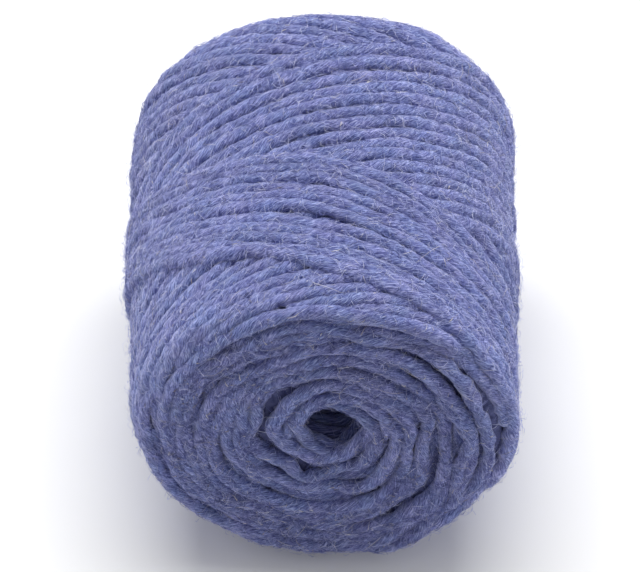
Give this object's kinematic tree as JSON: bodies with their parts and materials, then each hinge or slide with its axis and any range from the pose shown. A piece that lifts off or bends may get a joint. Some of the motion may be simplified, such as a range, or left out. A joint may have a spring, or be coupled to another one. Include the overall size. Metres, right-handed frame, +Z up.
{
  "type": "jute twine cop",
  "caption": "Coreless cross-wound cop of dyed two-ply jute twine lying on its side, with an open hole through the middle that the twine is pulled from.",
  "frame": {"origin": "centre of the bounding box in X and Y, on the surface that the cop rests on", "axes": "+Z up, winding axis along Y with the end that the picture shows at -Y, +X to the right of that end"},
  "size_m": [0.0772, 0.084, 0.0755],
  "materials": {
    "dyed_jute": "matte, hairy two-ply jute, piece-dyed periwinkle blue"
  },
  "bodies": {
    "root": {"wound_twine": "dyed_jute"}
  },
  "joints": []
}
